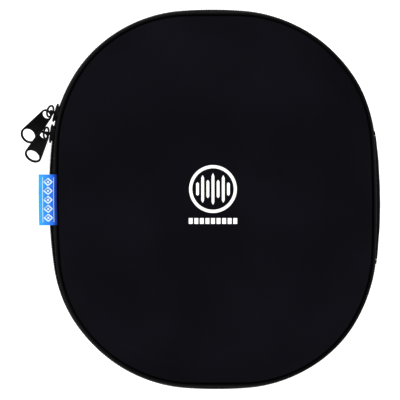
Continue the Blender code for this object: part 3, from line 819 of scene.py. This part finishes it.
def rounded_prism(outline, low, high):
    """A bmesh of an outline extruded between two heights, in millimetres."""
    bm = bmesh.new()
    bottom = [bm.verts.new((x, y, low)) for x, y in outline]
    top = [bm.verts.new((x, y, high)) for x, y in outline]
    bm.faces.new(bottom)
    bm.faces.new(top)
    for i in range(len(outline)):
        j = (i + 1) % len(outline)
        bm.faces.new((bottom[i], bottom[j], top[j], top[i]))
    bmesh.ops.recalc_face_normals(bm, faces=bm.faces)
    return bm


def solid(name, outline, low, high, turn=None):
    bm = rounded_prism(outline, low, high)
    if turn:
        bm.transform(turn)
    mesh = bpy.data.meshes.new(name)
    bm.to_mesh(mesh)
    bm.free()
    obj = bpy.data.objects.new(name, mesh)
    bpy.context.scene.collection.objects.link(obj)
    return obj


def join_solids(obj, others, operation="UNION"):
    for other in others:
        modifier = obj.modifiers.new(other.name, "BOOLEAN")
        modifier.operation, modifier.solver, modifier.object = operation, "EXACT", other
    apply_modifiers(obj)
    for other in others:
        bpy.data.objects.remove(other, do_unlink=True)


def finish_metal(obj, matrix, bevel, body, node, unit=MM):
    """Bevels a millimetre-sized solid, scales it down and puts it in place."""
    add_modifier_and_apply(obj, "BEVEL", width=bevel, segments=3, limit_method="ANGLE",
                           angle_limit=math.radians(30), use_clamp_overlap=True)
    obj.data.transform(matrix @ Matrix.Scale(unit, 4))
    uv = obj.data.uv_layers.get("cloth")
    if uv is None:
        obj.data.uv_layers.new(name="cloth")
    return finish_piece(obj, body, MATERIALS["metal"], [node])


def smooth_line(points, steps):
    """A closed outline rounded through its points with a Catmull-Rom curve."""
    points = np.array(points, float)
    count, result = len(points), []
    for i in range(count):
        p0, p1, p2, p3 = (points[(i + k) % count] for k in (-1, 0, 1, 2))
        for t in np.arange(steps) / steps:
            result.append(tuple(0.5 * (2 * p1 + (p2 - p0) * t + (2 * p0 - 5 * p1 + 4 * p2 - p3) * t ** 2
                                       + (3 * p1 - p0 - 3 * p2 + p3) * t ** 3)))
    return result


def slider_outline(nose, grow=0.0):
    """The slider's plate: nearly even in height, a little wider at the nose."""
    upper = [(-5.7, 0.0), (-5.55, 2.4), (-4.8, 3.9), (-2.4, 4.1),
             (0.6, 4.15), (2.6, 4.2), (4.4, 4.2), (5.4, 3.0)]
    outline = upper + [(5.7, 0.0)] + [(x, -z) for x, z in reversed(upper[1:])]
    return [(x * nose * (1 + grow / 5.7), z * (1 + grow / 4)) for x, z in smooth_line(outline, 3)]


def make_slider(side, nose):
    """Front and back plates, the post and flanges between them, and the bail."""
    upright = Matrix.Rotation(math.radians(90), 4, "X")
    front_low, front_high = 0.38, 1.45
    back_high = -COIL_DEPTH - GAP - TAPE - 0.38
    body = solid(side + "_slider_body", slider_outline(nose), -front_high, -front_low, upright)
    back = solid("back", slider_outline(nose), -back_high, -back_high + 1.05, upright)
    diamond = ((0.7, 0.0), (1.6, 0.38), (4.2, 0.38), (4.9, 0.0), (4.2, -0.38), (1.6, -0.38))
    web = [(x * nose, z) for x, z in diamond]
    post = solid("post", web, -front_low - 0.3, -back_high + 0.3, upright)
    ridge = solid("ridge", slider_outline(nose, -1.1), -front_high - 0.22, -front_low - 0.4, upright)
    arch = []
    for a in np.linspace(-90, 90, 13):
        c, s = math.cos(math.radians(a)), math.sin(math.radians(a))
        arch.append((1.3 + 3.35 * abs(c) ** 0.55, 2.60 * math.copysign(abs(s) ** 0.55, s)))
    inner = []
    for a in np.linspace(90, -90, 13):
        c, s = math.cos(math.radians(a)), math.sin(math.radians(a))
        inner.append((1.3 + 2.15 * abs(c) ** 0.6, 1.42 * math.copysign(abs(s) ** 0.6, s)))
    flanges = []
    flange_half, flange_z, flange, flange_in = 4.4, 3.74, 0.38, 1.05
    for edge in (flange_z, -flange_z - flange):
        strip = [(-flange_half, edge), (flange_half, edge),
                 (flange_half, edge + flange), (-flange_half, edge + flange)]
        flanges.append(solid("flange", strip, -front_low - 0.3, flange_in, upright))
    to_bail = Matrix(((0, 0, 1, 0), (1, 0, 0, 0), (0, 1, 0, 0), (0, 0, 0, 1)))
    bail = solid("bail", arch + inner, -0.95, 0.95, to_bail)
    join_solids(body, [ridge, back, post, bail] + flanges)
    finish_metal(body, slider_axes(side), 0.16, side + "_slider_body", side + "_slider")


def make_ring(side):
    """A ring of round wire, bent to a butt joint that sits inside the bail."""
    origin, along = settled_ring(side)
    low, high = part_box(side + "_pull_ring")
    out = (low + high) / 2 - Vector(joint(side + "_ring_swing")["pos_m"])
    out = (out - along * out.dot(along)).normalized()
    place_ring = axes_matrix(along, out, origin)
    radius, wire, count, sides = 3.45, 0.62, 72, 14
    open_half = 0.05
    angles = np.linspace(open_half, 2 * math.pi - open_half, count) + 0.35
    rows = []
    for k in range(sides):
        s = 2 * math.pi * k / sides
        reach = radius + wire * math.cos(s)
        x, y = reach * np.sin(angles), radius - reach * np.cos(angles)
        rows.append(np.column_stack([x, y, np.full(count, wire * math.sin(s))]))
    rows = np.array(rows)
    us, vs = np.meshgrid(np.linspace(0, 21.7, count + 1), np.linspace(0, 3.8, sides + 1))
    obj = grid_object(side + "_wire_ring", rows, us, vs, True, False, "columns", 60)
    obj.data.transform(place_ring @ Matrix.Scale(MM, 4))
    finish_piece(obj, side + "_ring_body", MATERIALS["metal"], [side + "_pull_ring"])


def pull_axes(side):
    """The flat pull's frame, from its solid: +X to its free end, +Z out of its face."""
    points = np.array([v.co for v in frame["nodes"][side + "_pull"].data.vertices])
    centre = (points.max(0) + points.min(0)) / 2
    _, _, directions = np.linalg.svd(points - points.mean(0), full_matrices=False)
    pivot = np.array(joint(side + "_pull_swing")["pos_m"])
    along = directions[0] * np.sign(directions[0] @ (centre - pivot))
    across = directions[1]
    facing = np.cross(along, across)
    across = across * np.sign(facing[2])
    spans = points @ along
    return along, across, points, spans


def ring_outline(length, r0, r1, steps):
    """Two round ends of different radius joined by their common tangents."""
    lean = math.acos((r0 - r1) / length)
    small = np.linspace(lean, 2 * math.pi - lean, steps)
    big = np.linspace(-lean, lean, steps)
    return ([(r0 * math.cos(a), r0 * math.sin(a)) for a in small]
            + [(length + r1 * math.cos(a), r1 * math.sin(a)) for a in big])


def circle(x, radius, steps):
    angles = np.linspace(0, 2 * math.pi, steps + 1)[:-1]
    return [(x + radius * math.cos(a), radius * math.sin(a)) for a in angles]


def make_pull(side):
    """Flat die-cast pull: a small eye for the ring, a finger hole, softly rounded edges."""
    length, r0, r1, thick = 20.0, PULL_EYE_R, 5.5, 1.2
    along, across, points, spans = pull_axes(side)
    start = spans.min() + PULL_EYE_R * MM
    facing = np.cross(along, across)
    eye = along * start
    eye = eye + across * ((points @ across).max() + (points @ across).min()) / 2
    eye = eye + facing * ((points @ facing).max() + (points @ facing).min()) / 2
    body = solid(side + "_pull_tab", ring_outline(length, r0, r1, 28), -thick / 2, thick / 2)
    eye_hole = solid("eye", circle(0, 2.55, 32), -2, 2)
    finger = solid("finger", circle(length, 4.25, 44), -2, 2)
    join_solids(body, [eye_hole, finger], "DIFFERENCE")
    finish_metal(body, axes_matrix(along, across, Vector(eye)), 0.26, side + "_pull_body", side + "_pull")


def make_stops():
    """Crimped metal stops over the chain's two ends."""
    for name in ("zip_stop_far", "zip_stop_near"):
        source = frame["nodes"][name]
        obj = bpy.data.objects.new(name + "_crimp", source.data.copy())
        bpy.context.scene.collection.objects.link(obj)
        bm = bmesh.new()
        bm.from_mesh(obj.data)
        bmesh.ops.remove_doubles(bm, verts=bm.verts, dist=0.01 * MM)
        bmesh.ops.dissolve_limit(bm, angle_limit=math.radians(4), verts=bm.verts, edges=bm.edges)
        bm.to_mesh(obj.data)
        bm.free()
        obj.data.transform(Matrix.Scale(1 / MM, 4))
        finish_metal(obj, Matrix.Identity(4), 0.3, "base", name)


# ---- Label ---------------------------------------------------------------

LABEL_PATH = [(0.5, 9.45), (1.3, 9.5), (2.4, 9.42), (3.8, 9.1),
              (5.6, 8.5), (7.6, 7.7), (9.6, 6.85), (11.3, 6.1)]    # out, and height


def label_frame(t, path):
    """Position at a share of the way along the label's side view, and the view's whole length."""
    path = np.array(path)
    run = np.concatenate([[0], np.cumsum(np.linalg.norm(np.diff(path, axis=0), axis=1))])
    at = [np.interp(t * run[-1], run, path[:, k]) for k in range(2)]
    return at, run[-1]


def make_label():
    """A damask label folded at its outer edge, with its two layers a little apart."""
    low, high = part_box("side_label")
    start, stop = 180 - heading_at(high.y / MM), 180 - heading_at(low.y / MM)
    headings, length = even_headings(34, start, stop)
    apart, skin, steps = 0.30, 0.26, 18
    under = [label_frame(t, LABEL_PATH)[0] for t in np.linspace(0, 1, steps)]
    end_n, end_z = under[-1]
    loft = apart / 2 + skin
    over = [(n, z + 2 * loft) for n, z in under]
    fold = [(end_n + loft * math.sin(a) * 1.2, end_z + loft - loft * math.cos(a))
            for a in np.linspace(0.2, math.pi - 0.2, 9)]
    outside = under + fold + over[::-1]
    gap_top, gap_low = [(n, z - skin) for n, z in over], [(n, z + skin) for n, z in under]
    inside = gap_top[:-1] + [(end_n - 0.1, end_z + loft)] + gap_low[::-1][1:]
    profile = outside + inside
    rows = np.array([place(headings, n, z, 1) for n, z in profile])
    droop = ripple(rows.reshape(-1, 3), 0.014, 0.35 * MM, 5.0).reshape(rows.shape[:2])
    free = np.clip(np.array([n for n, _ in profile]) / 8 - 0.3, 0, 1)
    rows[:, :, 2] += droop * free[:, None]
    wide = rows.shape[1]
    across = np.concatenate([[0], np.cumsum(np.linalg.norm(np.diff(np.array(profile), axis=0), axis=1))])
    across = np.append(across, across[-1] + 0.3)
    us, vs = np.meshgrid(np.linspace(0, length, wide + 1), across)
    obj = grid_object("woven_side_label", rows, us, vs, True, False, "columns", 60)
    finish_piece(obj, "lid", MATERIALS["label"], ["side_label"])
    make_label_motif(obj, headings, length)


def make_label_motif(label, headings, length):
    """A generic woven row of lozenges between two fine border lines, in pale thread."""
    tree = BVHTree.FromObject(label, bpy.context.evaluated_depsgraph_get())
    middle, reach, step = 5.9, 2.5, 5.4
    strips = []
    for k in range(5):
        c = length / 2 + (k - 2) * step
        corners = [(c - 2.1, middle), (c, middle + reach), (c + 2.1, middle), (c, middle - reach)]
        strips.append((corners + corners[:2], 0.75))
        strips.append(([(c - 0.6, middle), (c + 0.6, middle)], 1.2))
    for out in (middle - reach - 0.9, middle + reach + 0.9):
        strips.append(([(length * 0.06, out), (length * 0.94, out)], 0.3))
    points, faces = [], []

    def on_label(along, out):
        heading = np.interp(along, np.linspace(0, length, len(headings)), headings)
        flat = place(np.array([heading]), out, 30, 1)[0]
        hit = tree.ray_cast(Vector(flat), Vector((0, 0, -1)))
        return None if hit[0] is None else hit[0]

    def ribbon(corners, width):
        dense = []
        for a, b in zip(corners, corners[1:]):
            steps = max(2, int(math.dist(a, b) / 0.6))
            dense += [np.array(a) + (np.array(b) - np.array(a)) * i / steps for i in range(steps)]
        dense.append(np.array(corners[-1]))
        dense = np.array(dense)
        ahead = np.gradient(dense, axis=0)
        side = np.column_stack([-ahead[:, 1], ahead[:, 0]])
        side /= np.linalg.norm(side, axis=1)[:, None]
        first = len(points)
        for p, s in zip(dense, side):
            for out, lift in ((-1, 0.02), (-1, 0.10), (1, 0.10), (1, 0.02)):
                spot = on_label(*(p + s * out * width / 2))
                points.append(tuple(spot + Vector((0, 0, lift * MM))))
        for i in range(len(dense) - 1):
            for k in range(4):
                a, b = first + i * 4 + k, first + i * 4 + (k + 1) % 4
                faces.append([a, b, b + 4, a + 4])
        faces.append([first + k for k in range(4)])
        faces.append([first + (len(dense) - 1) * 4 + k for k in (3, 2, 1, 0)])

    for corners, width in strips:
        ribbon(corners, width)
    uvs = [(points[k][1] / MM, points[k][0] / MM) for face in faces for k in face]
    obj = make_object("label_motif", points, faces, uvs, 50)
    outward(obj)
    finish_piece(obj, "lid", MATERIALS["label_mark"])


# ---- Printed emblem ------------------------------------------------------

EMBLEM_CENTRE = (-1.34, 6.24)


def ring_shape(radius, width, steps=72):
    outer = circle(0, radius, steps)
    inner = circle(0, radius - width, steps)
    return outer, inner


def make_emblem(lid):
    """A generic mark: a ring round upright bars, with a row of plain dashes beneath it."""
    tree = BVHTree.FromObject(lid, bpy.context.evaluated_depsgraph_get())
    turn = Matrix.Rotation(VIEW_TURN, 2)
    centre = Vector(EMBLEM_CENTRE)
    points, faces = [], []

    def drop(x, y, lift):
        flat = turn @ Vector((x, y)) + centre
        hit = tree.ray_cast(Vector((flat.x * MM, flat.y * MM, 0.2)), Vector((0, 0, -1)))[0]
        return (hit.x, hit.y, hit.z + lift * MM)

    def strip(outer, inner, closed):
        first, count = len(points), len(outer)
        for (ax, ay), (bx, by) in zip(outer, inner):
            points.extend([drop(ax, ay, 0.005), drop(ax, ay, 0.09), drop(bx, by, 0.09), drop(bx, by, 0.005)])
        for i in range(count if closed else count - 1):
            j = (i + 1) % count
            for k in range(4):
                m = (k + 1) % 4
                faces.append([first + i * 4 + k, first + i * 4 + m, first + j * 4 + m, first + j * 4 + k])
        if not closed:
            faces.append([first + k for k in (3, 2, 1, 0)])
            faces.append([first + (count - 1) * 4 + k for k in range(4)])

    def bar(x, y0, y1, width):
        ys = np.linspace(y0, y1, 12)
        ends = np.sqrt(np.clip(1 - np.clip(np.abs(ys - (y0 + y1) / 2) - (y1 - y0 - width) / 2, 0, None) ** 2
                               / (width / 2) ** 2, 0.02, 1))
        strip([(x - width / 2 * e, y) for e, y in zip(ends, ys)],
              [(x + width / 2 * e, y) for e, y in zip(ends, ys)], False)

    ring_radius, ring_width, bar_step, bar_width = 14.4, 1.9, 3.1, 1.7
    strip(*ring_shape(ring_radius, ring_width), True)
    for k, tall in enumerate((4.0, 8.2, 5.4, 9.4, 5.4, 8.2, 4.0)):
        bar((k - 3) * bar_step, -tall, tall, bar_width)
    wide, dash_step, dash_low, dash_high = 2.4, 3.35, -21.0, -17.5
    for k in range(9):
        x = (k - 4) * dash_step
        strip([(x - wide / 2, dash_low), (x + wide / 2, dash_low)],
              [(x - wide / 2, dash_high), (x + wide / 2, dash_high)], False)
    uvs = [(points[k][0] / MM, points[k][1] / MM) for face in faces for k in face]
    obj = make_object("printed_emblem", points, faces, uvs, 50)
    outward(obj)
    finish_piece(obj, "lid", MATERIALS["ink"])


# ---- Net pocket ----------------------------------------------------------

def pocket_inset():
    return WALL + GAP + LINING + GAP + WALL_DRAFT + 0.3


def net_height(x, y, mouth):
    """The net hangs a little slack between its edges and its elastic mouth."""
    across = np.clip(1 - (x / 86.0) ** 2, 0, 1)
    down = np.clip((mouth - y) / 60, 0, 1) * np.clip((y + 103) / 40, 0, 1)
    return NET_Z - 1.6 * across * down


def make_net():
    low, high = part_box("pocket_net")
    mouth = high.y / MM
    inset = pocket_inset() + 1.2
    side = NET_CELL / math.sqrt(3)
    bm = bmesh.new()
    known = {}

    def corner(x, y):
        key = (round(x, 2), round(y, 2))
        if key not in known:
            z = MIDDLE + net_height(x, y, mouth)
            known[key] = bm.verts.new((x * MM, y * MM, z * MM))
        return known[key]

    rows = int((high.y - low.y) / MM / (1.5 * side)) + 1
    for r in range(rows):
        y = mouth - 0.6 - r * 1.5 * side
        for c in range(-40, 41):
            x = (c + 0.5 * (r % 2)) * NET_CELL
            if SHELL_LINE.distance(np.array([x, y])) > -inset - side:
                continue
            angles = [math.radians(30 + 60 * k) for k in range(6)]
            bm.faces.new([corner(x + side * math.cos(a), y + side * math.sin(a)) for a in angles])
    mesh = bpy.data.meshes.new("pocket_net_weave")
    bm.to_mesh(mesh)
    bm.free()
    net = bpy.data.objects.new("pocket_net_weave", mesh)
    bpy.context.scene.collection.objects.link(net)
    add_modifier_and_apply(net, "WIREFRAME", thickness=NET_STRAND * MM,
                           use_boundary=True, use_even_offset=False)
    layer = net.data.uv_layers.get("cloth") or net.data.uv_layers.new(name="cloth")
    for loop in net.data.loops:
        co = net.data.vertices[loop.vertex_index].co
        layer.data[loop.index].uv = (co.x / MM, co.y / MM)
    finish_piece(net, "lid", MATERIALS["net"], ["pocket_net"])


def make_pocket_edge():
    """Folded tape that binds the net's sewn edge, from mouth to mouth."""
    edge = -pocket_inset() + 0.15
    profile = [
        ("shell", edge, NET_Z - 0.65), ("shell", edge, NET_Z + 0.65), ("shell", edge - 2.0, NET_Z + 0.75),
        ("shell", edge - 4.2, NET_Z + 0.6), ("shell", edge - 4.5, NET_Z), ("shell", edge - 4.2, NET_Z - 0.6),
        ("shell", edge - 2.0, NET_Z - 0.75),
    ]
    mouth = heading_at(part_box("pocket_net")[1].y / MM)
    obj = sweep("pocket_edge_tape", profile, 1, 2.5, (180 - mouth, 360 + mouth))
    finish_piece(obj, "lid", MATERIALS["tape"])
    spots = outline_spots(edge - 3.4, NET_Z - 0.78, 0, 1, (180 - mouth, 360 + mouth))
    spots = (spots[0], np.tile([0.0, 0.0, -1.0], (len(spots[0]), 1)))
    stitch_row("pocket_edge_stitches", spots, "lid")


def make_hem():
    """The pocket's elastic mouth, ribbed and slightly gathered."""
    low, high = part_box("pocket_hem")
    count = 150
    xs = np.linspace(low.x, high.x, count)
    gather = 0.18 * np.sin(np.arange(count) * 1.25) * np.sin(np.linspace(0, math.pi, count)) ** 0.3
    rows = []
    for k in range(14):
        a = 2 * math.pi * k / 14
        c, s = math.cos(a), math.sin(a)
        y = (low.y + high.y) / 2 + (high.y - low.y) / 2 * math.copysign(abs(c) ** 0.5, c)
        z = (low.z + high.z) / 2 + ((high.z - low.z) / 2 - 0.2 * MM) * math.copysign(abs(s) ** 0.6, s)
        rows.append(np.column_stack([xs, np.full(count, y), z + gather * MM * (0.4 + abs(s))]))
    rows = np.array(rows)
    us, vs = band_uvs(rows, (high.x - low.x) / MM, True)
    obj = grid_object("pocket_elastic", rows, us, vs, True, False, "columns", 70)
    finish_piece(obj, "lid", MATERIALS["elastic"], ["pocket_hem"])


# ---- Studio --------------------------------------------------------------

def make_studio():
    mesh = bpy.data.meshes.new("floor")
    mesh.from_pydata([(-4, -4, 0), (4, -4, 0), (4, 4, 0), (-4, 4, 0)], [], [(0, 1, 2, 3)])
    floor = bpy.data.objects.new("floor", mesh)
    bpy.context.scene.collection.objects.link(floor)
    floor.location.z = -0.0004
    floor.data.materials.append(plain_floor())

    world = bpy.data.worlds.new("studio")
    bpy.context.scene.world = world
    world.use_nodes = True
    world.node_tree.nodes["Background"].inputs["Color"].default_value = (1.0, 1.0, 1.0, 1.0)
    world.node_tree.nodes["Background"].inputs["Strength"].default_value = 1.15

    def softbox(name, location, aim, size, power):
        light = bpy.data.lights.new(name, "AREA")
        light.shape, light.size, light.energy = "SQUARE", size, power
        lamp = bpy.data.objects.new(name, light)
        lamp.location = location
        lamp.rotation_euler = (Vector(aim) - Vector(location)).to_track_quat("-Z", "Y").to_euler()
        bpy.context.scene.collection.objects.link(lamp)

    softbox("key", (-0.9, 0.9, 1.5), (0, 0, 0), 1.2, 16)
    softbox("fill", (1.0, -0.7, 1.3), (0, 0, 0), 1.2, 9)


def make_camera():
    """Straight above the case, far enough off that its walls hardly show."""
    height, across = 2.6, 0.2431
    seam = (MIDDLE + PIPING_Z) * MM
    camera = bpy.data.cameras.new("camera")
    camera.sensor_width = 36.0
    camera.lens = 36.0 * (height - seam) / across
    camera.clip_end = 50
    obj = bpy.data.objects.new("camera", camera)
    obj.location = (-9.22 * MM, -0.30 * MM, height)
    obj.rotation_euler = (0, 0, VIEW_TURN)
    bpy.context.scene.collection.objects.link(obj)
    bpy.context.scene.camera = obj


def make_case():
    shells = make_shells()
    make_linings()
    make_seams()
    for side in HALF:
        make_tape(side)
        make_coil(side)
        make_coil_cord(side)
    make_hinge()
    for side, nose in (("upper", -1), ("lower", 1)):
        make_slider(side, nose)
        make_ring(side)
        make_pull(side)
    make_stops()
    make_label()
    make_emblem(shells["lid"])
    make_net()
    make_pocket_edge()
    make_hem()


scene = bpy.context.scene
scene.view_settings.view_transform = "Standard"
make_case()
make_studio()
make_camera()
